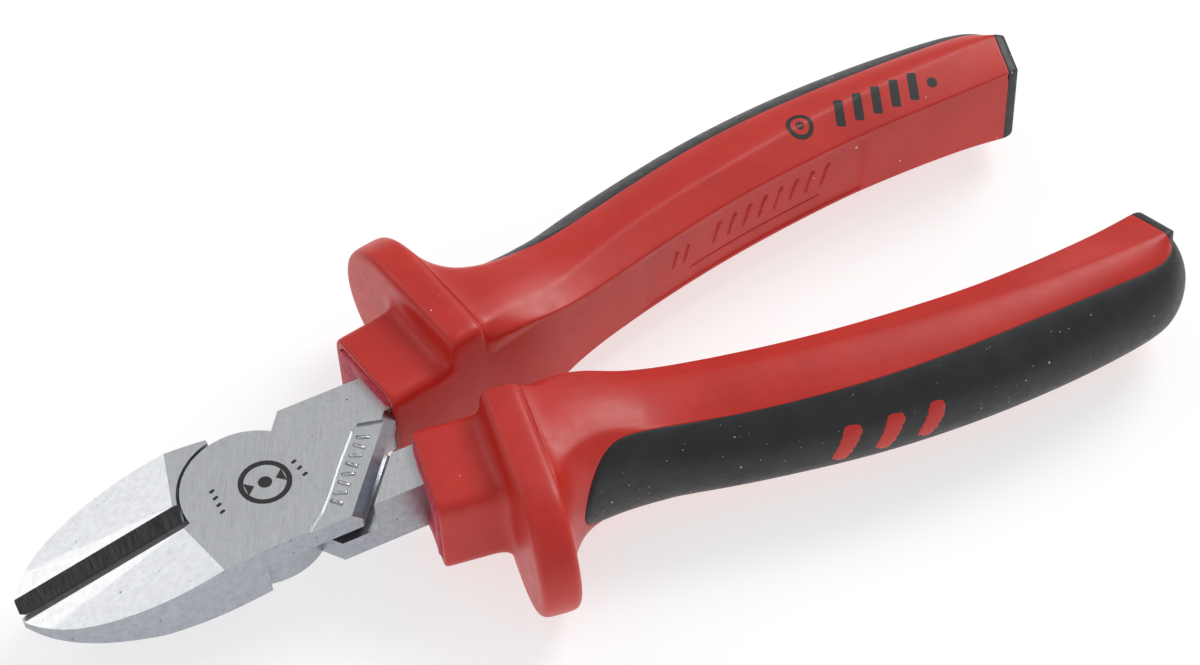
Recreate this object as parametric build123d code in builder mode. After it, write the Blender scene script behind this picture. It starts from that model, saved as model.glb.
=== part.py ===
"""Diagonal cutting pliers with two-layer insulated grips, jaws closed.

Millimetres. +X runs from the jaws to the handle ends, +Z is up and the tool lies on its
underside. The origin is the centre of the footprint. Each lever, sleeve, grip and overmould
comes in an A and a B version: A has its jaw on -Y and its handle on +Y, B the reverse.
"""

import math
import os

from build123d import *

# Overall layout
OVERALL_LENGTH = 162.5
TIP_X = -33.3  # jaw tip, measured from the pivot
PIVOT_X = -OVERALL_LENGTH / 2 - TIP_X
GUARD_HALF = 11.3  # half the height of the finger guards, the tallest part
MID_Z = GUARD_HALF  # height of the lap plane above the surface under the tool

# Forged head
HEAD_HALF = 4.4  # half the thickness of the joint
DISC_R = 9.5
RECESS_R = 9.95  # the opposite jaw is hollowed around the disc
LAP_GAP = 0.03  # each lap face stands this far from the middle plane
RELIEF = 0.9  # the lap face steps back outside the disc
RELIEF_MARGIN = 0.2  # and this far from its rim
WIDE = 80  # larger than the head, for cuts right across it
EDGE_Y = 10.25  # straight outer edges of the lap halves and tangs
JAW_END_X = -2.4
CUT_GAP = 0.04  # each cutting edge stands this far from the middle plane
END_ANGLE = 51  # slant of the lap half's end, and of the tang's start
LAP_END = 15.1  # distance of that end from the pivot
TANG_START = 16.5  # distance of the full-thickness tang from the pivot
END_BEVEL = 1.1
END_BEVEL_RISE = 0.75  # how steep that bevel is
PAD_DEPTH = 0.4  # forged pad, set back from the ground face

# Jaw faces, as slopes
FACET_X = -10.4  # where the top facets leave the joint face
GROUND_FALL = 0.247
CAST_FALL = 0.237
CAST_SIDE_FALL = 0.06
BEVEL_HALF = 2.0
BEVEL_DEPTH = 1.45
NOSE_X = -17.5  # the underside rises from here to the tip
NOSE_RISE = 0.125

# Rivet
RIVET_R = 4.0
RIVET_HEAD_R = 5.75
RIVET_HEAD_T = 1.2
RUNNING_GAP = 0.05

# Handles
TANG_INNER_Y = 3.5
TANG_NECK_X = 24  # the tang is thinner behind this
TANG_HALF = 3.5
COLLAR_ANGLE = 9.3  # the collar and guard lean outwards by this much
COLLAR_X, COLLAR_Y = 21.6, 2.5  # inner front corner of the collar
COLLAR_LENGTH = 9.6
COLLAR_WIDTH = 14.7
COLLAR_HALF = 6.75
COLLAR_WALL = 1.2
COLLAR_ROUND = 2.0
GUARD_THICK = 5.5
GUARD_WIDTH = 28.2
GUARD_ROUND = 1.6
GRIP_HALF = 8.4
GRIP_ROUND = 4.5
SLEEVE_WALL = 1.2
SLEEVE_LIP = 0.5
SLEEVE_START = 28  # where the flat sleeve along the tang leaves the collar

ZONE_X, ZONE_Y = 140, 45  # past the end and the outer side of the handle

# Plan curves of the A side, measured from the pivot
PAD_OUTLINE = [(3.9, -11.5), (3.9, -10.1), (6.5, -8), (8.7, -5.5), (11.6, -1.8), (15.3, 2.5),
               (16.5, 3.2), (21, 1.9), (26, 0), (14, -16)]
TANG_INNER = [(22, TANG_INNER_Y), (40, 7.0), (60, 12.1), (80, 16.4), (98, 18.3)]
TANG_OUTER = [(98, 22.8), (80, 21.6), (60, 18.0), (40, 13.2), (22, EDGE_Y)]
GRIP_INNER = [(34.5, 4.3), (45, 5.3), (55, 8.2), (65, 10.8), (75, 12.9), (90, 15.2), (107, 16.1),
              (127, 15.6)]
GRIP_OUTER = [(120, 30.4), (110, 31.8), (97, 32.1), (82, 30.7), (62, 26.8), (52, 23.3), (44, 20.8),
              (34.5, 25)]
GRIP_END = [(127, 15.6), (129.2, 23.3), (127.2, 26.6)]
SPLIT_LINE = [(36, 17.6), (45, 17.4), (60, 20.8), (70, 23.1), (80, 24.8), (90, 25.7), (105, 26.1),
              (124, 25.6)]
SPLIT_END = [(126.4, 23.6), (125, 14)]


def level(height):
    """The horizontal plane at this height over the lap plane, centred on the pivot."""
    return Plane((PIVOT_X, 0, MID_Z + height))


def sloped(x, y, height, rise_x, rise_y):
    """A plane through a point, with its rise along +X and along +Y."""
    along = Vector(1, 0, rise_x)
    across = Vector(0, 1, rise_y)
    return Plane((PIVOT_X + x, y, MID_Z + height), x_dir=along, z_dir=along.cross(across))


def leaning(height):
    """A horizontal plane at handle A's collar corner, with X along the collar."""
    angle = math.radians(COLLAR_ANGLE)
    return Plane(
        (PIVOT_X + COLLAR_X, COLLAR_Y, MID_Z + height),
        x_dir=(math.cos(angle), math.sin(angle), 0),
        z_dir=(0, 0, 1),
    )


def across_collar(along):
    """The plane across handle A's collar, X outwards and Y up, this far along it."""
    flat = leaning(0)
    return Plane(flat.origin + flat.x_dir * along, x_dir=flat.y_dir, z_dir=flat.x_dir)


def slant_point(distance, y, lean):
    """The point at this y on the slanted line that passes the pivot at this distance."""
    angle = math.radians(90 - END_ANGLE)
    x = (distance + lean * y * math.sin(angle)) / math.cos(angle)
    return (x, y)


def flipped(points, side):
    """Plan points of handle A's side, moved to the side asked for."""
    return [(x, y * side) for x, y in points]


def build_jaw(side):
    """One jaw at full thickness with its facets, before the joint is cut into it."""
    outline = [
        (TIP_X, 1.9 * side),
        (-29.6, 5.9 * side),
        (-21, 9.55 * side),
        (-12, 10.75 * side),
        (JAW_END_X, EDGE_Y * side),
    ]
    with BuildPart() as jaw:
        with BuildSketch(level(-HEAD_HALF)):
            with BuildLine():
                Spline(*outline)
                Polyline(
                    outline[-1],
                    (JAW_END_X, CUT_GAP * side),
                    (TIP_X, CUT_GAP * side),
                    outline[0],
                )
            make_face()
        extrude(amount=2 * HEAD_HALF)
        ground_band = sloped(FACET_X, 0, HEAD_HALF, GROUND_FALL, 0)
        cast_facet = sloped(
            FACET_X, BEVEL_HALF * side, HEAD_HALF, CAST_FALL, -CAST_SIDE_FALL * side
        )
        cutting_bevel = sloped(
            FACET_X,
            0,
            HEAD_HALF - BEVEL_DEPTH,
            GROUND_FALL,
            side * BEVEL_DEPTH / BEVEL_HALF,
        )
        for face in (ground_band, cast_facet, cutting_bevel):
            split(bisect_by=face, keep=Keep.BOTTOM)
        split(bisect_by=sloped(NOSE_X, 0, -HEAD_HALF, -NOSE_RISE, 0), keep=Keep.TOP)
    return jaw


def build_lever(jaw_side, layer):
    """A lever: jaw, half-thickness lap disc (layer 1 above, -1 below) and handle tang."""
    side = -jaw_side
    jaw = build_jaw(jaw_side)
    lap_outline = [
        (-7, -EDGE_Y),
        slant_point(LAP_END, -EDGE_Y, 1),
        slant_point(LAP_END, TANG_INNER_Y, 1),
        (TANG_NECK_X, TANG_INNER_Y),
        (TANG_NECK_X, EDGE_Y),
        (7.9, EDGE_Y),
        (5.9, 7.6),
        (0, 0),
    ]
    tang_block = [
        slant_point(TANG_START, EDGE_Y, -1),
        slant_point(TANG_START, TANG_INNER_Y, -1),
        (TANG_NECK_X, TANG_INNER_Y),
        (TANG_NECK_X, EDGE_Y),
    ]
    with BuildPart() as lever:
        with BuildSketch(level(layer * LAP_GAP)):
            Circle(DISC_R)
            with BuildLine():
                Polyline(*flipped(lap_outline, side), close=True)
            make_face()
        extrude(amount=layer * (HEAD_HALF - LAP_GAP))
        # the lap face steps back outside the disc
        with BuildSketch(level(0)):
            Rectangle(WIDE, WIDE)
            Circle(DISC_R + RELIEF_MARGIN, mode=Mode.SUBTRACT)
        extrude(amount=layer * RELIEF, mode=Mode.SUBTRACT)
        # the far end of the lap half is bevelled along its slant
        bevel_start = slant_point(LAP_END - END_BEVEL, 0, 1)
        bevel_normal = math.radians(90 - END_ANGLE)
        bevel_face = Plane(
            (PIVOT_X + bevel_start[0], 0, MID_Z + layer * (HEAD_HALF - PAD_DEPTH)),
            x_dir=(math.sin(bevel_normal), side * math.cos(bevel_normal), 0),
            z_dir=(math.cos(bevel_normal), -side * math.sin(bevel_normal), layer * END_BEVEL_RISE),
        )
        split(bisect_by=bevel_face, keep=Keep.BOTTOM)
        # full-thickness tang in front of the handle, thinner inside it
        with BuildSketch(level(-HEAD_HALF)):
            with BuildLine():
                Polyline(*flipped(tang_block, side), close=True)
            make_face()
        extrude(amount=2 * HEAD_HALF)
        add(jaw.part)
        # hollow for the other lever's disc
        with BuildSketch(level(0)):
            Circle(RECESS_R)
        extrude(amount=-layer * WIDE, mode=Mode.SUBTRACT)
        # forged pad on the outer face
        with BuildSketch(level(layer * HEAD_HALF)):
            with BuildLine():
                Polyline(*flipped(PAD_OUTLINE, side), close=True)
            make_face()
        extrude(amount=-layer * PAD_DEPTH, mode=Mode.SUBTRACT)
        # the part of the tang that is buried in the handle
        with BuildSketch(level(-TANG_HALF)):
            with BuildLine():
                Spline(*flipped(TANG_INNER, side))
                Spline(*flipped(TANG_OUTER, side))
                Line(*flipped([TANG_INNER[-1], TANG_OUTER[0]], side))
                Line(*flipped([TANG_OUTER[-1], TANG_INNER[0]], side))
            make_face()
        extrude(amount=2 * TANG_HALF)
        # the rivet is pressed into the upper lever and turns in the lower one
        play = 0 if layer == 1 else RUNNING_GAP
        with BuildSketch(level(-HEAD_HALF)):
            Circle(RIVET_R + play)
        extrude(amount=2 * HEAD_HALF, mode=Mode.SUBTRACT)
        with BuildSketch(level(layer * HEAD_HALF)):
            Circle(RIVET_HEAD_R + play)
        extrude(amount=-layer * (RIVET_HEAD_T + play), mode=Mode.SUBTRACT)
    return lever


def build_rivet():
    """The pivot rivet, with a sunk head at each end ground flush with the joint faces."""
    with BuildPart() as rivet:
        with BuildSketch(level(-HEAD_HALF)):
            Circle(RIVET_R)
        extrude(amount=2 * HEAD_HALF)
        for end in (-1, 1):
            with BuildSketch(level(end * HEAD_HALF)):
                Circle(RIVET_HEAD_R)
            extrude(amount=-end * RIVET_HEAD_T)
    return rivet


def build_guard():
    """The finger guard of handle A, a thick plate with a round outer end."""
    square = GUARD_WIDTH - GUARD_HALF
    with BuildPart() as guard:
        with BuildSketch(across_collar(COLLAR_LENGTH)):
            with Locations((square, 0)):
                Circle(GUARD_HALF)
            with Locations((square / 2, 0)):
                Rectangle(square, 2 * GUARD_HALF)
        extrude(amount=GUARD_THICK)
        fillet(guard.edges(), GUARD_ROUND)
    return guard


def build_grip_body():
    """The curved grip of handle A behind the guard, red and black together."""
    with BuildPart() as grip:
        with BuildSketch(level(-GRIP_HALF)):
            with BuildLine():
                Spline(*GRIP_INNER)
                Spline(*GRIP_OUTER)
                Line(GRIP_OUTER[-1], GRIP_INNER[0])
                Line(GRIP_END[0], GRIP_END[1])
                Spline(GRIP_END[1], GRIP_END[2], GRIP_OUTER[0])
            make_face()
        extrude(amount=2 * GRIP_HALF)
        rims = grip.edges().filter_by(GeomType.BSPLINE).group_by(Axis.Z)
        for rim in (rims[0], rims[-1]):
            by_length = rim.sort_by(SortBy.LENGTH)
            fillet(by_length[-2:].sort_by(Axis.Y)[-1], GRIP_ROUND)
    return grip


def build_sleeve():
    """The inner insulation of handle A, which grips the tang and fills the collar."""
    with BuildPart() as sleeve:
        with BuildSketch(level(-TANG_HALF - SLEEVE_WALL)):
            with BuildLine():
                Spline(*[(x, y - SLEEVE_WALL) for x, y in TANG_INNER[1:]])
                Spline(*[(x, y + SLEEVE_WALL) for x, y in TANG_OUTER[:-1]])
                Line(
                    (TANG_INNER[-1][0], TANG_INNER[-1][1] - SLEEVE_WALL),
                    (TANG_OUTER[0][0], TANG_OUTER[0][1] + SLEEVE_WALL),
                )
                Polyline(
                    (TANG_OUTER[-2][0], TANG_OUTER[-2][1] + SLEEVE_WALL),
                    (SLEEVE_START, TANG_OUTER[-1][1] + SLEEVE_WALL),
                    (SLEEVE_START, TANG_INNER[0][1] + SLEEVE_LIP),
                    (TANG_INNER[1][0], TANG_INNER[1][1] - SLEEVE_WALL),
                )
            make_face()
        extrude(amount=2 * (TANG_HALF + SLEEVE_WALL))
        with BuildSketch(across_collar(-SLEEVE_LIP)):
            with Locations((COLLAR_WIDTH / 2, 0)):
                RectangleRounded(
                    COLLAR_WIDTH - 2 * COLLAR_WALL,
                    2 * (COLLAR_HALF - COLLAR_WALL),
                    COLLAR_ROUND - COLLAR_WALL,
                )
        extrude(amount=COLLAR_LENGTH)
    return sleeve


def build_collar():
    """The collar of handle A, from its mouth to the middle of the guard."""
    with BuildPart() as collar:
        with BuildSketch(across_collar(0)):
            with Locations((COLLAR_WIDTH / 2, 0)):
                RectangleRounded(COLLAR_WIDTH, 2 * COLLAR_HALF, COLLAR_ROUND)
        extrude(amount=COLLAR_LENGTH + GUARD_THICK / 2)
    return collar


def on_side(piece, side):
    """Handle A's piece as it is for side 1, or reflected to handle B for side -1."""
    with BuildPart() as placed:
        add(piece.part if side == 1 else mirror(piece.part, about=Plane.XZ))
    return placed


def build_outer_zone():
    """Everything on the black side of handle A's colour split, at full height."""
    with BuildPart() as zone:
        with BuildSketch(level(-WIDE / 2)):
            with BuildLine():
                Spline(*SPLIT_LINE)
                Polyline(
                    SPLIT_LINE[-1],
                    *SPLIT_END,
                    (ZONE_X, SPLIT_END[-1][1]),
                    (ZONE_X, ZONE_Y),
                    (SPLIT_LINE[0][0], ZONE_Y),
                    SPLIT_LINE[0],
                )
            make_face()
        extrude(amount=WIDE)
    return zone


def build_handle(lever, side):
    """The sleeve, red grip and black overmould of one handle, fitted to its tang."""
    plain = [build_guard(), build_grip_body(), build_outer_zone(), build_sleeve(), build_collar()]
    guard, body, zone, envelope, collar = [on_side(piece, side) for piece in plain]
    with BuildPart() as overmould:
        add(body.part)
        add(zone.part, mode=Mode.INTERSECT)
        add(guard.part, mode=Mode.SUBTRACT)
    with BuildPart() as grip:
        add(body.part)
        add(zone.part, mode=Mode.SUBTRACT)
        add(guard.part)
        add(collar.part)
        add(envelope.part, mode=Mode.SUBTRACT)
        add(lever.part, mode=Mode.SUBTRACT)
    with BuildPart() as sleeve:
        add(envelope.part)
        add(lever.part, mode=Mode.SUBTRACT)
    return {"sleeve": sleeve, "grip": grip, "overmould": overmould}


def save(name, builder):
    """Label a finished piece and write its STEP file."""
    builder.part.label = name
    export_step(builder.part, f"parts/{name}.step")
    size = builder.part.bounding_box().size
    print(f"{name}: {size.X:.1f} x {size.Y:.1f} x {size.Z:.1f}, {builder.part.volume:.0f} mm3")


def main():
    lever_a = build_lever(-1, 1)
    lever_b = build_lever(1, -1)
    save("lever_a", lever_a)
    save("lever_b", lever_b)
    save("pivot_rivet", build_rivet())
    for name, piece in build_handle(lever_a, 1).items():
        save(f"{name}_a", piece)
    for name, piece in build_handle(lever_b, -1).items():
        save(f"{name}_b", piece)


main()
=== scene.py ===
"""Looks for the diagonal cutting pliers: moulded handles, steel finishes, camera and light."""

import math

import bmesh
import bpy
import numpy as np
from mathutils import Matrix, Vector
from mathutils.bvhtree import BVHTree


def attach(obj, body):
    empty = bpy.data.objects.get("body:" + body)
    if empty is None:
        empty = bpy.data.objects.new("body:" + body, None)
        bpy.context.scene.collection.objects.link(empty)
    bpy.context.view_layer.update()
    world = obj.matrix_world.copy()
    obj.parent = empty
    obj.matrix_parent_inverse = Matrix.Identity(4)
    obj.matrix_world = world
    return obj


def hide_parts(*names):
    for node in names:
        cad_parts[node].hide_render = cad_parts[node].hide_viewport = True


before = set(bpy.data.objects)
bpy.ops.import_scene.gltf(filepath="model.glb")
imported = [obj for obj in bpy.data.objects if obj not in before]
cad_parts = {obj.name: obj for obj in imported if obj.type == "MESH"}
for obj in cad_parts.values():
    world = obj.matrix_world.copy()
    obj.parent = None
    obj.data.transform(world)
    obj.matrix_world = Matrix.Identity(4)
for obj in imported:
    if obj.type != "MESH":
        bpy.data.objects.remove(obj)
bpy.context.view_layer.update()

MM = 0.001
PIVOT_X = -47.95
MID_Z = 11.3
HEAD_TOP = 4.4  # of the joint's upper face over the middle plane
PAD_DEPTH = 0.4  # of the forged pad under that face

# ---------------------------------------------------------------------------------------
# Handle shape, in millimetres from the pivot, for the handle on +Y
# ---------------------------------------------------------------------------------------

COLLAR_ANGLE = math.radians(9.3)
COLLAR_ORIGIN = np.array([21.6, 2.5, 0.0])
ALONG = np.array([math.cos(COLLAR_ANGLE), math.sin(COLLAR_ANGLE), 0.0])
ACROSS = np.array([-math.sin(COLLAR_ANGLE), math.cos(COLLAR_ANGLE), 0.0])
UP = np.array([0.0, 0.0, 1.0])
COLLAR_WIDTH, COLLAR_HALF, COLLAR_WALL = 14.7, 6.75, 1.1
GUARD_FRONT, GUARD_REAR, GUARD_R = 9.6, 15.1, 11.25
GUARD_CENTRE = 16.9

# Half sections from the middle of the inner side, over the top, to the middle of the
# outer side: (across, height) at the collar and at the finger guard.
COLLAR_HALF_LOOP = [
    (0, 0), (0, 1.8), (0, 3.3), (0, 4.2), (0, 4.5), (0, 5.0), (0.08, 5.6), (0.4, 6.15),
    (0.95, 6.58), (1.7, 6.74), (2.6, 6.75), (3.8, 6.75), (6.5, 6.75), (9.4, 6.75),
    (11.9, 6.75), (12.9, 6.7), (13.8, 6.45), (14.4, 5.8), (14.68, 4.9), (14.7, 3.8),
    (14.7, 2.6), (14.7, 1.3), (14.7, 0),
]
GUARD_HALF_LOOP = [
    (0, 0), (0, 1.9), (0, 3.5), (0, 4.5), (0, 4.9), (0, 5.5), (0, 6.4), (0, 7.7),
    (0.03, 9.3), (0.12, 10.5), (0.75, 11.15), (2.4, 11.25), (7.0, 11.25), (12.0, 11.25),
] + [
    (GUARD_CENTRE + GUARD_R * math.sin(math.radians(a)), GUARD_R * math.cos(math.radians(a)))
    for a in (3, 16, 27, 38, 49, 60, 70, 80, 90)
]
HALF = len(COLLAR_HALF_LOOP)
C_RIM_IN, C_SF, C_TB = 3, 6, 15
INNER_SIDE = [1, 1, 1, 1, 1, 0.8, 0.5] + [0] * (HALF - 7)

# Lengthwise curves of the grip: x, value.
INNER_Y = [(36, 4.8), (42, 5.0), (46, 5.5), (50, 6.7), (60, 9.5), (70, 11.9), (80, 13.8),
           (90, 15.1), (100, 15.95), (110, 16.2), (120, 16.05), (128, 15.6), (132, 15.2)]
CREASE_H = [(36, 8.2), (42, 7.8), (46, 7.1), (50, 6.4), (55, 5.9), (65, 5.8), (80, 5.9),
            (105, 5.9), (115, 6.1), (120, 6.3), (125, 6.8), (132, 7.0)]
TOP_Y = [(36, 7.2), (44, 8.5), (48.8, 9.75), (56.2, 12.5), (64, 14.8), (72, 16.55), (80, 17.9),
         (90, 19.5), (102, 20.8), (114, 21.6), (126, 22.0), (132, 22.0)]
TOP_H = [(36, 8.8), (42, 8.4), (46, 7.9), (55, 7.7), (64, 8.05), (72, 8.2), (90, 8.3),
         (132, 8.3)]
SPLIT_Y = [(36, 15.5), (44, 16.6), (50, 18.2), (60, 20.8), (70, 23.1), (80, 24.8), (90, 25.7),
           (100, 26.0), (118, 26.0), (122, 25.9), (124, 25.6), (125.3, 25.0), (126.3, 24.0),
           (127.3, 22.8), (132, 18)]
SPLIT_H = [(36, 8.2), (46, 7.4), (55, 6.6), (65, 6.55), (75, 6.85), (120, 6.85), (126, 6.6),
           (132, 6.2)]
OUTER_Y = [(36, 20.8), (42, 20.9), (45, 21.3), (50, 22.9), (56.7, 25.2), (67, 27.7), (81, 30.2),
           (97, 31.5), (107, 31.5), (115, 31.0), (120, 30.3), (123.5, 29.6), (126, 28.0), (128.5, 25.6),
           (132, 22.2)]
LEAN = [(36, 9.3), (46, 12), (58, 14), (72, 11), (86, 6), (100, 1), (110, -4), (118, -10),
        (125, -11), (132, -12)]

ROW_X = [46.5, 49.5, 51.8, 54, 57, 62.5, 62.95, 65, 68, 71, 74.5, 78, 82, 86, 90, 94, 97.5,
         100.2, 101.0, 101.4, 104, 108, 112, 116, 119.5, 122.5, 124.5, 125.1]
PANEL = (62.8, 101.2)
PANEL_DEPTH = 0.35
SEAT_DEPTH = 1.0  # of the black layer in the red grip
BLACK_ROW_X = 54
NECK_RISE, NECK_X, NECK_SPREAD = 1.1, 43.5, 4.2
# Where the black overmould starts on each column from the split line outwards.
BLACK_START = [52, 47.5, 44.5, 42.2, 40.4, 38.9, 37.8, 37.1, 36.8]


def smooth_curve(points):
    """A function through these (x, value) points, with Catmull-Rom slopes."""
    xs = np.array([p[0] for p in points], float)
    ys = np.array([p[1] for p in points], float)
    slope = np.gradient(ys, xs)

    def value(x):
        x = np.clip(np.asarray(x, float), xs[0], xs[-1])
        i = np.clip(np.searchsorted(xs, x) - 1, 0, len(xs) - 2)
        h = xs[i + 1] - xs[i]
        t = (x - xs[i]) / h
        a = ys[i] * (1 + 2 * t) * (1 - t) ** 2 + slope[i] * h * t * (1 - t) ** 2
        b = ys[i + 1] * t * t * (3 - 2 * t) + slope[i + 1] * h * t * t * (t - 1)
        return a + b

    return value


inner_y, crease_h = smooth_curve(INNER_Y), smooth_curve(CREASE_H)
top_y, top_h = smooth_curve(TOP_Y), smooth_curve(TOP_H)
split_y, split_h = smooth_curve(SPLIT_Y), smooth_curve(SPLIT_H)
outer_y, lean = smooth_curve(OUTER_Y), smooth_curve(LEAN)


def on_station(x_inner, y_of, h_of):
    """Where a lengthwise curve meets the section plane through the inner line at x_inner."""
    tilt = math.tan(math.radians(float(lean(x_inner))))
    y_inner = float(inner_y(x_inner))
    x = x_inner
    for _ in range(30):
        x = 0.5 * x + 0.5 * (x_inner - (float(y_of(x)) - y_inner) * tilt)
    return np.array([x, float(y_of(x)), float(h_of(x))])


def neck_rise(point, height_share):
    """How much fuller the upper half of the neck is just behind the guard."""
    return NECK_RISE * math.exp(-(((point[0] - NECK_X) / NECK_SPREAD) ** 2)) * height_share


def grip_half_section(x):
    """Half section of the grip, column by column, at this place on the inner line."""
    low = on_station(x, inner_y, lambda v: 0)
    crease = on_station(x, inner_y, crease_h)
    top = on_station(x, top_y, top_h)
    edge = on_station(x, split_y, split_h)
    out = on_station(x, outer_y, lambda v: 0)
    height = crease[2]
    rim = 1 - 0.85 / height
    rim_out = 1 - 0.6 / height
    points = [low + (crease - low) * f for f in (0, 0.35, 0.65, rim, rim_out, 1 - 0.3 / height, 1)]
    facet = top - crease
    size = np.linalg.norm(facet)
    points += [crease + facet * f for f in (0.4 / size, 0.5, 1 - 0.6 / size, 1)]
    face = edge - top
    size = np.linalg.norm(face)
    for f in (0.7 / size, 0.38, 0.72, 1 - 0.3 / size, 1):
        points.append(top + face * f + UP * 0.45 * 4 * f * (1 - f))
    outwards = (out - edge) * np.array([1, 1, 0])
    reach = np.linalg.norm(outwards)
    outwards = outwards / reach
    slope = -0.42
    p1 = edge + (outwards + UP * slope) * reach * 0.55
    p2 = out + UP * edge[2] * 0.5
    for t in (0.3 / reach, 0.17, 0.33, 0.5, 0.67, 0.84, 1):
        points.append(
            edge * (1 - t) ** 3 + p1 * 3 * t * (1 - t) ** 2 + p2 * 3 * t * t * (1 - t) + out * t**3
        )
    for point in points:
        point[2] += neck_rise(point, point[2] / top[2])
    return np.array(points)


def collar_frame(across, height, along):
    return COLLAR_ORIGIN + ALONG * along + ACROSS * across + UP * height


def guard_rows():
    """Rows from the collar's mouth over the guard to its rear edge."""
    collar = np.array(COLLAR_HALF_LOOP, float)
    guard = np.array(GUARD_HALF_LOOP, float)
    middle = np.array([COLLAR_WIDTH / 2, 0.0])
    shrink = np.array([
        (COLLAR_WIDTH - 2 * COLLAR_WALL) / COLLAR_WIDTH,
        (COLLAR_HALF - COLLAR_WALL) / COLLAR_HALF,
    ])
    rows = []
    mouth = (
        (1.0, 3.0), (1.0, 1.2), (1.0, 0.3), (0.9, 0.06), (0.45, 0.0), (0.12, 0.1), (0.0, 0.45)
    )
    for inset, along in mouth:
        factor = 1 + (shrink - 1) * inset
        rows.append([collar_frame(*(middle + (p - middle) * factor), along) for p in collar])
    for along in (2.0, 4.0, 5.8, GUARD_FRONT - 2.4):
        rows.append([collar_frame(*p, along) for p in collar])
    # (along, distance from the collar, distance from the guard's rim)
    profile = [
        (GUARD_FRONT - 1.3, 0.15, None),
        (GUARD_FRONT - 0.55, 0.6, None),
        (GUARD_FRONT - 0.1, 1.6, None),
        (GUARD_FRONT, 2.6, None),
        (GUARD_FRONT, None, 1.9),
        (GUARD_FRONT + 0.1, None, 0.9),
        (GUARD_FRONT + 0.55, None, 0.15),
        (GUARD_FRONT + 1.5, None, 0.0),
        (GUARD_FRONT + 2.75, None, 0.0),
        (GUARD_REAR - 1.3, None, 0.0),
        (GUARD_REAR - 0.45, None, 0.18),
        (GUARD_REAR - 0.05, None, 0.75),
    ]
    first, last = GUARD_FRONT - 2.4, GUARD_REAR
    for k, (along, from_collar, from_rim) in enumerate(profile):
        row = []
        even = first + (last - first) * (k + 1) / len(profile)
        for j in range(HALF):
            way = guard[j] - collar[j]
            length = np.linalg.norm(way) + 1e-9
            scale = min(1.0, length / 4.6)
            travelled = from_collar * scale if from_rim is None else length - from_rim * scale
            place = collar[j] + way / length * travelled
            mix = INNER_SIDE[j]
            row.append(collar_frame(*place, along * (1 - mix) + even * mix))
        rows.append(row)
    return rows


def sweep_curves():
    """For each column, a dense line from the guard's rear edge to the end of the grip."""
    guard = np.array(GUARD_HALF_LOOP, float)
    neck = grip_half_section(ROW_X[0])
    ahead = grip_half_section(ROW_X[0] + 1.0)
    stations = np.linspace(ROW_X[0], 131.0, 170)
    grips = [grip_half_section(x) for x in stations]
    curves = []
    for j in range(HALF):
        start = collar_frame(*guard[j], GUARD_REAR)
        end = neck[j]
        tangent = ahead[j] - neck[j]
        tangent = tangent / np.linalg.norm(tangent)
        gap = end - start
        forward = gap @ ALONG
        inward = gap - ALONG * forward
        mix = INNER_SIDE[j]
        p1 = start + inward * 0.62 * (1 - mix) + (ALONG * forward + inward) * mix / 3
        p2 = end - tangent * forward * (0.62 * (1 - mix) + mix / 3)
        curve = []
        for t in np.linspace(0, 1, 60)[:-1]:
            curve.append(
                start * (1 - t) ** 3 + p1 * 3 * t * (1 - t) ** 2 + p2 * 3 * t * t * (1 - t) + end * t**3
            )
        curve += [g[j] for g in grips]
        curves.append(np.array(curve))
    # the place along every line is given by the inner line's own x from the neck on
    knots = np.concatenate([ROW_X[0] - 10 + 10 * np.linspace(0, 1, 60)[:-1], stations])
    return knots, curves


def at_place(knots, curve, place):
    return np.array([np.interp(place, knots, curve[:, k]) for k in range(3)])


def handle_grid():
    """The handle's outer surface as rows of half loops, with the black rows' numbers."""
    rows = guard_rows()
    knots, curves = sweep_curves()
    start = ROW_X[0] - 10
    places = [start + 10 * t for t in (0.09, 0.2, 0.33, 0.47, 0.62, 0.8)] + ROW_X
    end = places[-1]
    # places on the outer columns where their own x is the start of the black
    black_place = []
    for k, x in enumerate(BLACK_START):
        j = min(C_TB + k, HALF - 1)
        line = curves[j][:, 0]
        black_place.append(float(np.interp(x, line, knots)))
    black_row = len(rows) + places.index(BLACK_ROW_X)
    for place in places:
        row = []
        for j in range(HALF):
            there = place
            if j >= C_TB:
                own = black_place[min(j - C_TB, len(black_place) - 1)]
                if place <= BLACK_ROW_X:
                    there = start + (place - start) * (own - start) / (BLACK_ROW_X - start)
                else:
                    there = end - (end - place) * (end - own) / (end - BLACK_ROW_X)
            elif place > 95 and j <= C_SF:
                bend = math.exp(-(((place - 101.2) / 4.0) ** 2))
                there = place - 1.9 * bend * (j / C_SF) ** 3
            row.append(at_place(knots, curves[j], there))
        rows.append(row)
    cap_row = len(rows) - 1
    return np.array(rows), knots, curves, black_row, cap_row


def full_loop(half):
    """A closed loop from a half loop and its reflection in the middle plane."""
    under = half[1:-1][::-1] * np.array([1, 1, -1])
    return np.concatenate([half, under])


def grid_normals(grid):
    """Outward normals of a grid of closed loops."""
    around = np.roll(grid, -1, axis=1) - np.roll(grid, 1, axis=1)
    along = np.gradient(grid, axis=0)
    normal = np.cross(along, around)
    normal /= np.linalg.norm(normal, axis=2, keepdims=True) + 1e-12
    outward = grid - grid.mean(axis=1, keepdims=True)
    sign = np.sign((normal * outward).sum(axis=2, keepdims=True).mean())
    return normal * sign


def to_frame(points, side):
    """Handle millimetres to the frame's metres; side -1 reflects to the other handle."""
    p = np.array(points, float).reshape(-1, 3)
    return (p * np.array([1, side, 1]) + np.array([PIVOT_X, 0, MID_Z])) * MM


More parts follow.
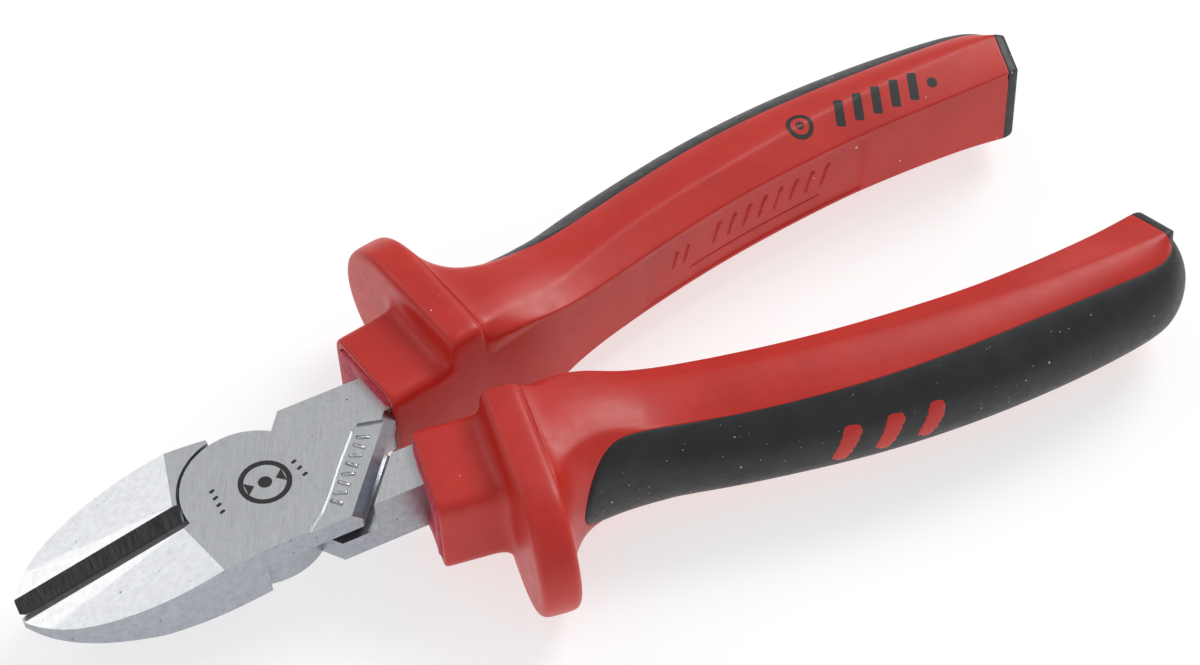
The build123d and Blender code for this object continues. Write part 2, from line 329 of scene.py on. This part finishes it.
def mesh_object(name, points, faces, material, body, smooth=True):
    """A mesh with outward faces, in place in the frame and riding on its body."""
    mesh = bpy.data.meshes.new(name)
    mesh.from_pydata([tuple(p) for p in points], [], faces)
    bm = bmesh.new()
    bm.from_mesh(mesh)
    bmesh.ops.remove_doubles(bm, verts=bm.verts, dist=1e-7)
    bmesh.ops.recalc_face_normals(bm, faces=bm.faces)
    for face in bm.faces:
        face.smooth = smooth
    bm.to_mesh(mesh)
    bm.free()
    mesh.materials.append(material)
    obj = bpy.data.objects.new(name, mesh)
    bpy.context.scene.collection.objects.link(obj)
    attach(obj, body)
    return obj


def subdivide(obj, levels=2):
    modifier = obj.modifiers.new("subdivision", "SUBSURF")
    modifier.levels = levels
    modifier.render_levels = levels


def build_handle(side, name, materials, body):
    """The red grip and black overmould of one handle as two closed meshes."""
    half_grid, knots, curves, black_row, cap_row = handle_grid()
    end_rows = []
    for place, inset in ((125.4, 0.0), (126.1, 0.12), (126.6, 0.35), (126.8, 0.8)):
        row = np.array([at_place(knots, curves[j], place) for j in range(HALF)])
        centre = (row[0] + row[-1]) / 2
        row = row + (centre - row) * (inset / 7.0)
        end_rows.append(row)
    centre = (end_rows[-1][0] + end_rows[-1][-1]) / 2
    for shrink in (0.35, 0.75):
        end_rows.append(end_rows[3] + (centre - end_rows[3]) * shrink)
    grid = np.array([full_loop(np.array(r)) for r in list(half_grid) + end_rows])
    normals = grid_normals(grid)
    columns = grid.shape[1]

    # moulded panel on the inner side
    inner_columns = [j for j in range(columns) if min(j, columns - j) <= C_RIM_IN]
    for i in range(grid.shape[0]):
        x = grid[i, 0, 0]
        if PANEL[0] < x < PANEL[1] - 0.05 and i < cap_row:
            depth = PANEL_DEPTH * (0.6 + 0.4 * min(1.0, (x - PANEL[0]) / 20))
            for j in inner_columns:
                grid[i, j] -= normals[i, j] * depth

    rows = grid.shape[0]
    bottom_split = columns - C_TB

    def is_black(i, j):
        if i >= cap_row:
            return True
        return i >= black_row and C_TB <= j < bottom_split

    cells = [(i, j) for i in range(rows - 1) for j in range(columns)]
    black_cells = {c for c in cells if is_black(*c)}
    count = rows * columns
    seat = grid - normals * SEAT_DEPTH
    both = np.concatenate([grid.reshape(-1, 3), seat.reshape(-1, 3)])
    # inside the cap the seat stays in front of the end face
    cap_centre = grid[cap_row].mean(axis=0)
    for i in range(cap_row, rows):
        way_in = 0.12 + 0.8 * (i - cap_row) / (rows - 1 - cap_row)
        for j in range(columns):
            both[count + i * columns + j] = (
                grid[cap_row, j] + (cap_centre - grid[cap_row, j]) * way_in
            )

    def vert(i, j, inner):
        return i * columns + j % columns + (count if inner else 0)

    def quad(i, j, inner=False):
        corners = ((i, j), (i + 1, j), (i + 1, j + 1), (i, j + 1))
        return [vert(*corner, inner) for corner in corners]

    walls = []
    seam_edges = []
    for i, j in cells:
        here = (i, j) in black_cells
        for other, (a, b) in (
            ((i, (j + 1) % columns), ((i, j + 1), (i + 1, j + 1))),
            ((i + 1, j), ((i + 1, j), (i + 1, j + 1))),
        ):
            if other[0] > rows - 2:
                continue
            if here != (other in black_cells):
                walls.append([vert(*a, False), vert(*b, False), vert(*b, True), vert(*a, True)])
                seam_edges.append((vert(*a, False), vert(*b, False)))

    def ring(i, inner=False):
        return [vert(i, j, inner) for j in range(columns)]

    red_faces = [quad(*c) for c in cells if c not in black_cells]
    red_faces += [quad(*c, inner=True) for c in cells if c in black_cells]
    red_faces += walls + [ring(0), ring(rows - 1, True)]
    black_faces = [quad(*c) for c in cells if c in black_cells]
    black_faces += [quad(*c, inner=True) for c in cells if c in black_cells]
    black_faces += walls + [ring(rows - 1), ring(rows - 1, True)]
    made = []
    layers = (("grip", red_faces, materials[0]), ("overmould", black_faces, materials[1]))
    for label, faces, material in layers:
        used = sorted({v for f in faces for v in f})
        number = {v: k for k, v in enumerate(used)}
        points = to_frame(both[used], side)
        local = [[number[v] for v in f] for f in faces]
        obj = mesh_object(f"{label}_skin_{name}", points, local, material, body)
        crease = obj.data.attributes.new("crease_edge", "FLOAT", "EDGE")
        seam_points = {tuple(np.round(to_frame(both[[v]], side)[0], 7)) for e in seam_edges for v in e}
        values = []
        for edge in obj.data.edges:
            ends = [tuple(np.round(np.array(obj.data.vertices[v].co, float), 7)) for v in edge.vertices]
            values.append(0.75 if all(e in seam_points for e in ends) else 0.0)
        crease.data.foreach_set("value", values)
        subdivide(obj)
        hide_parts(f"{label}_{name}")
        made.append(obj)
    return made


def build_sleeve(side, name, material, body):
    """The cut end of the inner insulation, a little ragged, in the collar's mouth."""
    rng = np.random.default_rng(7 if side > 0 else 11)
    collar = full_loop(np.array([(q, 0, h) for q, h in COLLAR_HALF_LOOP], float))
    middle = np.array([COLLAR_WIDTH / 2, 0, 0])
    rows = []
    cut_end = (
        (1.25, 2.6), (1.22, 0.6), (1.2, -0.1), (1.6, -0.35), (3.0, -0.3), (4.4, -0.1), (5.4, 0.2)
    )
    for inset, along in cut_end:
        factor = np.array([
            (COLLAR_WIDTH - 2 * inset) / COLLAR_WIDTH, 1, (COLLAR_HALF - min(inset, 4.6)) / COLLAR_HALF
        ])
        loop = middle + (collar - middle) * factor
        ragged = rng.normal(0, 0.13, len(loop)) if along < 0.3 else np.zeros(len(loop))
        rows.append([
            COLLAR_ORIGIN + ALONG * (along + ragged[k]) + ACROSS * p[0] + UP * p[2]
            for k, p in enumerate(loop)
        ])
    grid = np.array(rows)
    n = grid.shape[1]
    faces = [
        [i * n + j, (i + 1) * n + j, (i + 1) * n + (j + 1) % n, i * n + (j + 1) % n]
        for i in range(len(rows) - 1)
        for j in range(n)
    ]
    faces.append(list(range(n)))
    faces.append([(len(rows) - 1) * n + j for j in range(n)])
    obj = mesh_object(f"sleeve_skin_{name}", to_frame(grid, side), faces, material, body)
    subdivide(obj, 1)
    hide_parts(f"sleeve_{name}")
    return obj


# ---------------------------------------------------------------------------------------
# Small marks: flat shapes drawn in a plane and laid on a surface
# ---------------------------------------------------------------------------------------


def bar(centre, length, width, turn, corner=0.25):
    """A bar with rounded corners: its outline, anticlockwise."""
    corner = min(corner, width / 2.01)
    points = []
    for cx, cy, start in ((1, 1, 0), (-1, 1, 90), (-1, -1, 180), (1, -1, 270)):
        for k in range(4):
            a = math.radians(start + 30 * k)
            points.append((
                cx * (length / 2 - corner) + corner * math.cos(a),
                cy * (width / 2 - corner) + corner * math.sin(a),
            ))
    c, s = math.cos(math.radians(turn)), math.sin(math.radians(turn))
    return [(centre[0] + c * x - s * y, centre[1] + s * x + c * y) for x, y in points]


def disc_outline(centre, radius, count=24):
    return [
        (
            centre[0] + radius * math.cos(2 * math.pi * k / count),
            centre[1] + radius * math.sin(2 * math.pi * k / count),
        )
        for k in range(count)
    ]


def ring_outlines(centre, outer, inner, count=28, first=0, last=360):
    """A ring as short four-sided pieces."""
    pieces = []
    step = (last - first) / count
    for k in range(count):
        a, b = math.radians(first + step * k), math.radians(first + step * (k + 1))
        pieces.append([
            (centre[0] + r * math.cos(t), centre[1] + r * math.sin(t))
            for r, t in ((inner, a), (outer, a), (outer, b), (inner, b))
        ])
    return pieces


def lay_on(name, outlines, to_space, direction, target, material, body, lift, sink, edge_lift=None, cut=0.5):
    """Flat outlines, cut into small faces, laid on a surface as thin closed solids.

    to_space turns a drawing point into a start point in the frame, and direction is the
    way that it is moved onto the target. lift and sink are in millimetres.
    """
    flat = bmesh.new()
    for outline in outlines:
        flat.faces.new([flat.verts.new((x, y, 0)) for x, y in outline])
    bmesh.ops.remove_doubles(flat, verts=flat.verts, dist=1e-5)
    xs = [v.co.x for v in flat.verts]
    ys = [v.co.y for v in flat.verts]
    for axis, low, high in ((0, min(xs), max(xs)), (1, min(ys), max(ys))):
        for k in range(1, int((high - low) / cut)):
            at, normal = Vector((0, 0, 0)), Vector((0, 0, 0))
            at[axis] = low + k * cut
            normal[axis] = 1
            geometry = flat.verts[:] + flat.edges[:] + flat.faces[:]
            bmesh.ops.bisect_plane(flat, geom=geometry, plane_co=at, plane_no=normal, dist=1e-5)
    if isinstance(target, bpy.types.Object):
        tree = BVHTree.FromObject(target, bpy.context.evaluated_depsgraph_get())
    else:
        tree = target
    rims = {v.index for e in flat.edges if e.is_boundary for v in e.verts}
    flat.verts.ensure_lookup_table()
    top, low = [], []
    for v in flat.verts:
        start = Vector(to_space(v.co.x, v.co.y))
        hit, normal, _, _ = tree.ray_cast(start, Vector(direction))
        if hit is None:
            raise RuntimeError(f"{name}: a mark misses its surface")
        if normal.dot(Vector(direction)) > 0:
            normal = -normal
        rise = lift if edge_lift is None or v.index not in rims else edge_lift
        top.append(hit + normal * rise * MM)
        low.append(hit - normal * sink * MM)
    count = len(top)
    faces = [[v.index for v in f.verts] for f in flat.faces]
    under = [[v + count for v in reversed(f)] for f in faces]
    walls = [
        [e.verts[0].index, e.verts[1].index, e.verts[1].index + count, e.verts[0].index + count]
        for e in flat.edges
        if e.is_boundary
    ]
    flat.free()
    return mesh_object(name, top + low, faces + under + walls, material, body, smooth=edge_lift is not None)


def from_above(x, y):
    return ((x + PIVOT_X) * MM, y * MM, 0.05)


def from_inner_side(side):
    return lambda x, height: ((x + PIVOT_X) * MM, -0.002 * side, (height + MID_Z) * MM)


def from_outer_side(side):
    return lambda x, height: ((x + PIVOT_X) * MM, 0.05 * side, (height + MID_Z) * MM)


def add_marks(name, side, grip, overmould, body, materials):
    """Raised marks in the panel, and red windows through the black overmould."""
    red_material = materials[0]
    bars = [bar((76 + 2.7 * k, 0.75), 4.0, 0.75, 72) for k in range(8)]
    bars += [bar((68.6, 0.3), 3.2, 0.6, 72), bar((70.6, 0.3), 3.2, 0.6, 72)]
    bars.append(bar((82.5, -3.0), 23, 0.5, 0))
    marks = lay_on(
        f"panel_marks_{name}", bars, from_inner_side(side), (0, side, 0), grip, red_material, body,
        0.22, 0.2, edge_lift=0.05,
    )
    windows = [bar((73 + 6.0 * k, 1.2), 6.2, 2.6, 62, 0.5) for k in range(3)]
    windows = lay_on(
        f"window_{name}", windows, from_outer_side(side), (0, -side, 0), overmould, red_material, body,
        0.06, 0.4, edge_lift=-0.06,
    )


# ---------------------------------------------------------------------------------------
# Materials
# ---------------------------------------------------------------------------------------


class Shader:
    """A node material, built with short calls that return output sockets."""

    def __init__(self, name):
        self.material = bpy.data.materials.new(name)
        self.material.use_nodes = True
        self.tree = self.material.node_tree
        self.shader = self.tree.nodes["Principled BSDF"]
        self.place = self.tree.nodes.new("ShaderNodeTexCoord")

    def node(self, kind, inputs=None, **settings):
        made = self.tree.nodes.new(kind)
        for key, value in settings.items():
            setattr(made, key, value)
        for key, value in (inputs or {}).items():
            if isinstance(value, bpy.types.NodeSocket):
                self.tree.links.new(value, made.inputs[key])
            else:
                made.inputs[key].default_value = value
        return made

    def math(self, operation, a, b=0.0, clamp=False):
        made = self.node("ShaderNodeMath", {0: a, 1: b}, operation=operation)
        made.use_clamp = clamp
        return made.outputs[0]

    def position(self, scale=(1, 1, 1), offset=(0, 0, 0), turn=0.0):
        """Object coordinates in millimetres from the pivot on the lap plane, turned and scaled."""
        shift = self.node(
            "ShaderNodeVectorMath",
            {0: self.place.outputs["Object"], 1: (-PIVOT_X * MM, 0, -MID_Z * MM)},
            operation="ADD",
        )
        mapped = self.node(
            "ShaderNodeMapping",
            {
                "Vector": shift.outputs[0],
                "Location": tuple(v * MM for v in offset),
                "Rotation": (0, 0, turn),
            },
        )
        stretched = self.node(
            "ShaderNodeMapping", {"Vector": mapped.outputs[0], "Scale": tuple(s / MM for s in scale)}
        )
        return stretched.outputs[0]

    def noise(self, vector, scale=1.0, detail=3.0, rough=0.55):
        made = self.node(
            "ShaderNodeTexNoise",
            {"Vector": vector, "Scale": scale, "Detail": detail, "Roughness": rough},
        )
        return made.outputs[0]

    def ramp(self, value, low, high, from_value=0.0, to_value=1.0):
        made = self.node(
            "ShaderNodeMapRange",
            {"Value": value, "From Min": low, "From Max": high, "To Min": from_value, "To Max": to_value},
        )
        return made.outputs[0]

    def mix(self, factor, a, b):
        made = self.node("ShaderNodeMix", data_type="RGBA")
        for socket, value in ((made.inputs[0], factor), (made.inputs[6], a), (made.inputs[7], b)):
            if isinstance(value, bpy.types.NodeSocket):
                self.tree.links.new(value, socket)
            else:
                socket.default_value = value
        return made.outputs[2]

    def blend(self, factor, a, b):
        """A number between a and b."""
        difference = self.math("SUBTRACT", b, a)
        return self.math("ADD", a, self.math("MULTIPLY", factor, difference))

    def specks(self, vector, scale, size, share):
        """Small round specks: about this share of the cells of this scale has one."""
        cells = self.node(
            "ShaderNodeTexVoronoi", {"Vector": vector, "Scale": scale, "Randomness": 1.0}
        )
        chance = self.node("ShaderNodeSeparateColor", {0: cells.outputs["Color"]})
        reach = self.math("MULTIPLY", chance.outputs[1], size)
        spot = self.math("LESS_THAN", cells.outputs["Distance"], reach)
        lucky = self.math("LESS_THAN", chance.outputs[0], share)
        return self.math("MULTIPLY", spot, lucky)

    def bump(self, height, strength, distance, normal=None):
        inputs = {"Height": height, "Strength": strength, "Distance": distance * MM}
        if normal is not None:
            inputs["Normal"] = normal
        return self.node("ShaderNodeBump", inputs).outputs[0]

    def set(self, **values):
        names = {
            "colour": "Base Color", "rough": "Roughness", "metal": "Metallic", "normal": "Normal",
            "specular": "Specular IOR Level", "coat": "Coat Weight", "coat_rough": "Coat Roughness",
        }
        for key, value in values.items():
            socket = self.shader.inputs[names[key]]
            if isinstance(value, bpy.types.NodeSocket):
                self.tree.links.new(value, socket)
            else:
                socket.default_value = value
        return self.material


def rgb(r, g, b):
    return (r, g, b, 1.0)


def red_plastic():
    s = Shader("red_grip")
    p = s.position()
    cloud = s.ramp(s.noise(p, 0.12, 4), 0.35, 0.65)
    colour = s.mix(cloud, rgb(0.52, 0.017, 0.009), rgb(0.59, 0.023, 0.013))
    grain = s.noise(p, 5.0, 4, 0.6)
    dust = s.specks(p, 0.42, 0.10, 0.20)
    dark = s.specks(s.position(offset=(3, 7, 1)), 0.5, 0.07, 0.10)
    colour = s.mix(dust, colour, rgb(0.85, 0.62, 0.60))
    colour = s.mix(dark, colour, rgb(0.10, 0.02, 0.02))
    rough = s.ramp(s.noise(p, 0.5, 5), 0.3, 0.7, 0.36, 0.46)
    normal = s.bump(grain, 0.25, 0.02, s.bump(s.noise(p, 0.35, 3), 0.3, 0.10))
    return s.set(colour=colour, rough=rough, normal=normal, specular=0.5)


def black_rubber():
    s = Shader("black_overmould")
    p = s.position()
    cloud = s.ramp(s.noise(p, 0.25, 5), 0.35, 0.7)
    colour = s.mix(cloud, rgb(0.010, 0.0105, 0.0115), rgb(0.018, 0.019, 0.021))
    dust = s.specks(p, 0.75, 0.13, 0.28)
    fine = s.specks(s.position(offset=(5, 1, 2)), 1.7, 0.15, 0.16)
    colour = s.mix(s.math("MAXIMUM", dust, fine), colour, rgb(0.40, 0.41, 0.43))
    rough = s.ramp(s.noise(p, 0.8, 5), 0.3, 0.7, 0.40, 0.55)
    normal = s.bump(s.noise(p, 6.0, 4, 0.6), 0.3, 0.02)
    return s.set(colour=colour, rough=rough, normal=normal, specular=0.5)


def crimson_insulation():
    s = Shader("inner_insulation")
    p = s.position(scale=(0.6, 1, 3.0))
    streak = s.ramp(s.noise(p, 1.4, 4), 0.35, 0.65)
    colour = s.mix(streak, rgb(0.42, 0.006, 0.03), rgb(0.68, 0.05, 0.09))
    normal = s.bump(s.noise(p, 2.5, 3), 0.6, 0.10)
    return s.set(colour=colour, rough=0.5, normal=normal, specular=0.5)


def ink(name, colour, roughness):
    s = Shader(name)
    p = s.position()
    wear = s.ramp(s.noise(p, 3.0, 4), 0.62, 0.72)
    shade = s.mix(wear, colour, tuple(2.5 * c for c in colour[:3]) + (1.0,))
    return s.set(colour=shade, rough=roughness, normal=s.bump(s.noise(p, 6.0, 3), 0.3, 0.01))


def steel(name):
    """Forged tool steel: ground joint faces and facets, cutting bevels with painted shade on the +Y one,
    cast sides darkened with painted shade.
    """
    s = Shader(name)
    p = s.position()
    axes = s.node("ShaderNodeSeparateXYZ", {0: p})
    x, y, z = axes.outputs
    facing = s.node("ShaderNodeSeparateXYZ", {0: s.place.outputs["Normal"]}).outputs[2]
    away = s.math("ABSOLUTE", y)

    # fine grinding grain across the joint faces, and along the cutting bevels
    grain_turn = math.radians(-63)
    grain = s.noise(s.position(scale=(0.25, 7.0, 1.0), turn=grain_turn), 1.0, 4, 0.6)
    grain_fine = s.noise(s.position(scale=(0.5, 16.0, 1.0), turn=grain_turn), 1.0, 2, 0.5)
    teeth = s.noise(s.position(scale=(11.0, 0.5, 0.5)), 1.0, 3, 0.6)
    mottle = s.noise(p, 1.1, 6, 0.62)
    cloud = s.noise(p, 0.28, 3)

    flat = s.math("GREATER_THAN", facing, 0.985)
    jaw = s.ramp(x, -9.9, -10.7)
    groove = s.math("MULTIPLY", s.math("LESS_THAN", away, 1.98), s.math("LESS_THAN", x, -9.6))
    groove = s.math("MULTIPLY", groove, s.math("GREATER_THAN", facing, 0.3))
    upward = s.math("GREATER_THAN", facing, 0.8)
    # the ground band runs from the groove by the joint to the outer corner of the tip
    band_edge = s.math("MULTIPLY_ADD", x, -0.142)
    band_edge.node.inputs[2].default_value = 0.58
    wobble = s.math("MULTIPLY", s.math("SUBTRACT", cloud, 0.5), 0.9)
    band = s.ramp(s.math("SUBTRACT", s.math("ADD", band_edge, wobble), away), -0.05, 0.15)

    flat_colour = s.mix(s.ramp(grain, 0.3, 0.7), rgb(0.62, 0.63, 0.65), rgb(0.80, 0.81, 0.83))
    flat_colour = s.mix(s.ramp(cloud, 0.45, 0.75), flat_colour, rgb(0.71, 0.72, 0.73))
    band_colour = s.mix(s.ramp(grain, 0.35, 0.65), rgb(0.88, 0.88, 0.89), rgb(0.97, 0.97, 0.98))
    cast_colour = s.mix(s.ramp(mottle, 0.35, 0.65), rgb(0.68, 0.69, 0.71), rgb(0.88, 0.89, 0.90))
    # faces that don't face up: the cast mottle in a darker, bluish grey, which is painted shade
    side_colour_painted_shade = s.mix(s.ramp(mottle, 0.3, 0.7), rgb(0.34, 0.36, 0.40), rgb(0.46, 0.48, 0.52))
    # cutting bevels: plain ground steel on -Y; on +Y, the bevel facing away from the camera is painted near
    # black as shade
    groove_light = s.mix(s.ramp(teeth, 0.3, 0.7), rgb(0.62, 0.63, 0.64), rgb(0.80, 0.81, 0.82))
    bevel_painted_shade = s.mix(s.ramp(teeth, 0.3, 0.7), rgb(0.03, 0.031, 0.033), rgb(0.13, 0.135, 0.14))
    bevel_colour_with_painted_shade = s.mix(s.math("GREATER_THAN", y, 0.0), groove_light, bevel_painted_shade)

    facet_colour = s.mix(band, cast_colour, band_colour)
    top_colour = s.mix(jaw, flat_colour, facet_colour)
    colour = s.mix(upward, side_colour_painted_shade, top_colour)
    colour = s.mix(groove, colour, bevel_colour_with_painted_shade)
    pits = s.specks(p, 0.9, 0.16, 0.30)
    pits_fine = s.specks(s.position(offset=(2, 5, 3)), 2.2, 0.16, 0.14)
    pits = s.math("MAXIMUM", pits, pits_fine)
    colour = s.mix(s.math("MULTIPLY", pits, 0.75), colour, rgb(0.07, 0.07, 0.08))

    rough = s.blend(upward, 0.38, s.blend(jaw, 0.30, 0.36))
    rough = s.blend(groove, rough, 0.34)
    rough = s.math("ADD", rough, s.ramp(mottle, 0.3, 0.7, -0.03, 0.05))

    height = s.blend(upward, mottle, s.blend(jaw, grain_fine, s.blend(band, mottle, grain_fine)))
    height = s.blend(groove, height, teeth)
    normal = s.bump(height, 0.35, 0.03)
    normal = s.bump(s.math("SUBTRACT", 1.0, pits), 0.4, 0.05, normal)
    return s.set(colour=colour, rough=rough, metal=1.0, normal=normal)


def rivet_steel():
    s = Shader("rivet_steel")
    turn = math.radians(-63)
    grain = s.noise(s.position(scale=(0.25, 7.0, 1.0), turn=turn), 1.0, 4, 0.6)
    colour = s.mix(s.ramp(grain, 0.3, 0.7), rgb(0.62, 0.63, 0.65), rgb(0.80, 0.81, 0.83))
    fine = s.noise(s.position(scale=(0.5, 16.0, 1.0), turn=turn), 1.0, 2, 0.5)
    return s.set(colour=colour, rough=0.30, metal=1.0, normal=s.bump(fine, 0.35, 0.03))


red = red_plastic()
black = black_rubber()
crimson = crimson_insulation()
steel_a = steel("tool_steel_upper")
steel_b = steel("tool_steel_lower")
rivet = rivet_steel()


def finish_node(node, material):
    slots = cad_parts[node].data.materials
    if len(slots) == 0:
        slots.append(material)
    for k in range(len(slots)):
        slots[k] = material


finish_node("lever_a", steel_a)
finish_node("lever_b", steel_b)
finish_node("pivot_rivet", rivet)

skins = {}
for side, name in ((1, "a"), (-1, "b")):
    body = f"lever_{name}_body"
    grip, overmould = build_handle(side, name, (red, black), body)
    sleeve = build_sleeve(side, name, crimson, body)
    add_marks(name, side, grip, overmould, body, (red, black))
    skins[name] = (grip, overmould)

# generic printed mark on the upper face of grip A
print_ink = ink("print_ink", rgb(0.012, 0.012, 0.012), 0.5)
printed = ring_outlines((92.8, 19.9), 2.0, 1.35) + [disc_outline((92.8, 19.9), 0.65)]
printed += [bar((99.2 + 3.0 * k, 19.75 - 0.05 * k), 3.9, 1.35, 70) for k in range(5)]
printed.append(bar((114.1, 19.1), 1.5, 1.5, 0, 0.7))
grip_print = lay_on(
    "grip_print", printed, from_above, (0, 0, -1), skins["a"][0], print_ink, "lever_a_body", 0.02, 0.05
)



def level_patch(height):
    """A level rectangle at this height, over the joint and the pad, to lay marks on."""
    corners = [(-0.07, -0.02), (-0.02, -0.02), (-0.02, 0.02), (-0.07, 0.02)]
    return BVHTree.FromPolygons([(x, y, height) for x, y in corners], [(0, 1, 2, 3)])


# generic laser mark on the joint: a dot between two wedges, in a ring
disc_height = (MID_Z + HEAD_TOP) * MM
joint_face = level_patch(disc_height)
laser_ink = ink("laser_mark", rgb(0.015, 0.015, 0.016), 0.6)
CENTRE = (1.84, -0.03)
lasered = ring_outlines(CENTRE, 3.6, 2.85) + [disc_outline(CENTRE, 0.95)]
for way in (-1, 1):
    lasered.append([
        (CENTRE[0] + way * p, CENTRE[1] + way * q) for p, q in ((1.5, 0.0), (2.7, -1.1), (2.7, 1.1))
    ])
lasered += [bar((-4.9, -1.9 + 1.25 * k), 0.8, 0.45, 20, 0.15) for k in range(4)]
lasered += [bar((7.0 - 0.25 * k, -1.3 + 1.3 * k), 0.8, 0.45, 20, 0.15) for k in range(3)]
laser_mark = lay_on(
    "laser_mark", lasered, from_above, (0, 0, -1), joint_face, laser_ink, "lever_a_body", 0.006, 0.02, cut=5
)

# raised strokes on the forged pad
pad_face = level_patch(disc_height - PAD_DEPTH * MM)
strokes = []
for k in range(8):
    t = k / 7
    strokes.append(bar((8.9 + 7.4 * t, -7.3 + 8.3 * t), 1.9, 0.5, -38 + (14 if k % 2 else -10), 0.2))
pad_marks = lay_on(
    "pad_marks", strokes, from_above, (0, 0, -1), pad_face, steel_a, "lever_a_body", 0.22, 0.1,
    edge_lift=0.08, cut=0.6,
)

# ---------------------------------------------------------------------------------------
# Camera, light, floor
# ---------------------------------------------------------------------------------------


def pale_floor():
    s = Shader("floor")
    cloud = s.noise(s.position(), 0.02, 2)
    colour = s.mix(cloud, rgb(0.40, 0.40, 0.40), rgb(0.43, 0.43, 0.43))
    s.shader.inputs["Emission Color"].default_value = rgb(1, 1, 1)
    s.shader.inputs["Emission Strength"].default_value = 0.66
    return s.set(colour=colour, rough=0.75, specular=0.2)


floor_mesh = bpy.data.meshes.new("floor")
FLOOR = 3.0
floor_mesh.from_pydata(
    [(-FLOOR, -FLOOR, 0), (FLOOR, -FLOOR, 0), (FLOOR, FLOOR, 0), (-FLOOR, FLOOR, 0)], [], [[0, 1, 2, 3]]
)
floor_mesh.materials.append(pale_floor())
floor = bpy.data.objects.new("floor", floor_mesh)
bpy.context.scene.collection.objects.link(floor)
floor.location.z = -0.0002

world = bpy.data.worlds.new("studio")
world.use_nodes = True
world.node_tree.nodes["Background"].inputs[0].default_value = rgb(0.97, 0.985, 1.0)
world.node_tree.nodes["Background"].inputs[1].default_value = 0.46
bpy.context.scene.world = world


def softbox(name, location, target, size, power):
    light = bpy.data.lights.new(name, "AREA")
    light.shape = "RECTANGLE"
    light.size, light.size_y = size
    light.energy = power
    obj = bpy.data.objects.new(name, light)
    bpy.context.scene.collection.objects.link(obj)
    obj.location = location
    aim = Vector(target) - Vector(location)
    obj.rotation_euler = aim.to_track_quat("-Z", "Y").to_euler()


softbox("key", (0.70, 0.25, 0.75), (0, 0, 0), (0.5, 0.5), 5.6)
softbox("back", (-0.35, 0.55, 0.70), (0, 0, 0), (0.5, 0.4), 0.7)
softbox("fill", (-0.6, -0.45, 0.40), (0, 0, 0), (0.6, 0.4), 0.5)

camera_data = bpy.data.cameras.new("camera")
camera_data.sensor_width = 36
camera_data.sensor_fit = "HORIZONTAL"
camera_data.lens = 90
camera = bpy.data.objects.new("camera", camera_data)
bpy.context.scene.collection.objects.link(camera)
RIGHT = Vector((0.892317, -0.449822, -0.037823))
UPWARD = Vector((0.363855, 0.667124, 0.650042))
BACK = Vector((-0.267171, -0.593805, 0.758956))
place = Matrix((RIGHT, UPWARD, BACK)).transposed().to_4x4()
place.translation = Vector((-0.104655, -0.239392, 0.324163))
camera.matrix_world = place
bpy.context.scene.camera = camera
bpy.context.scene.view_settings.view_transform = "Standard"
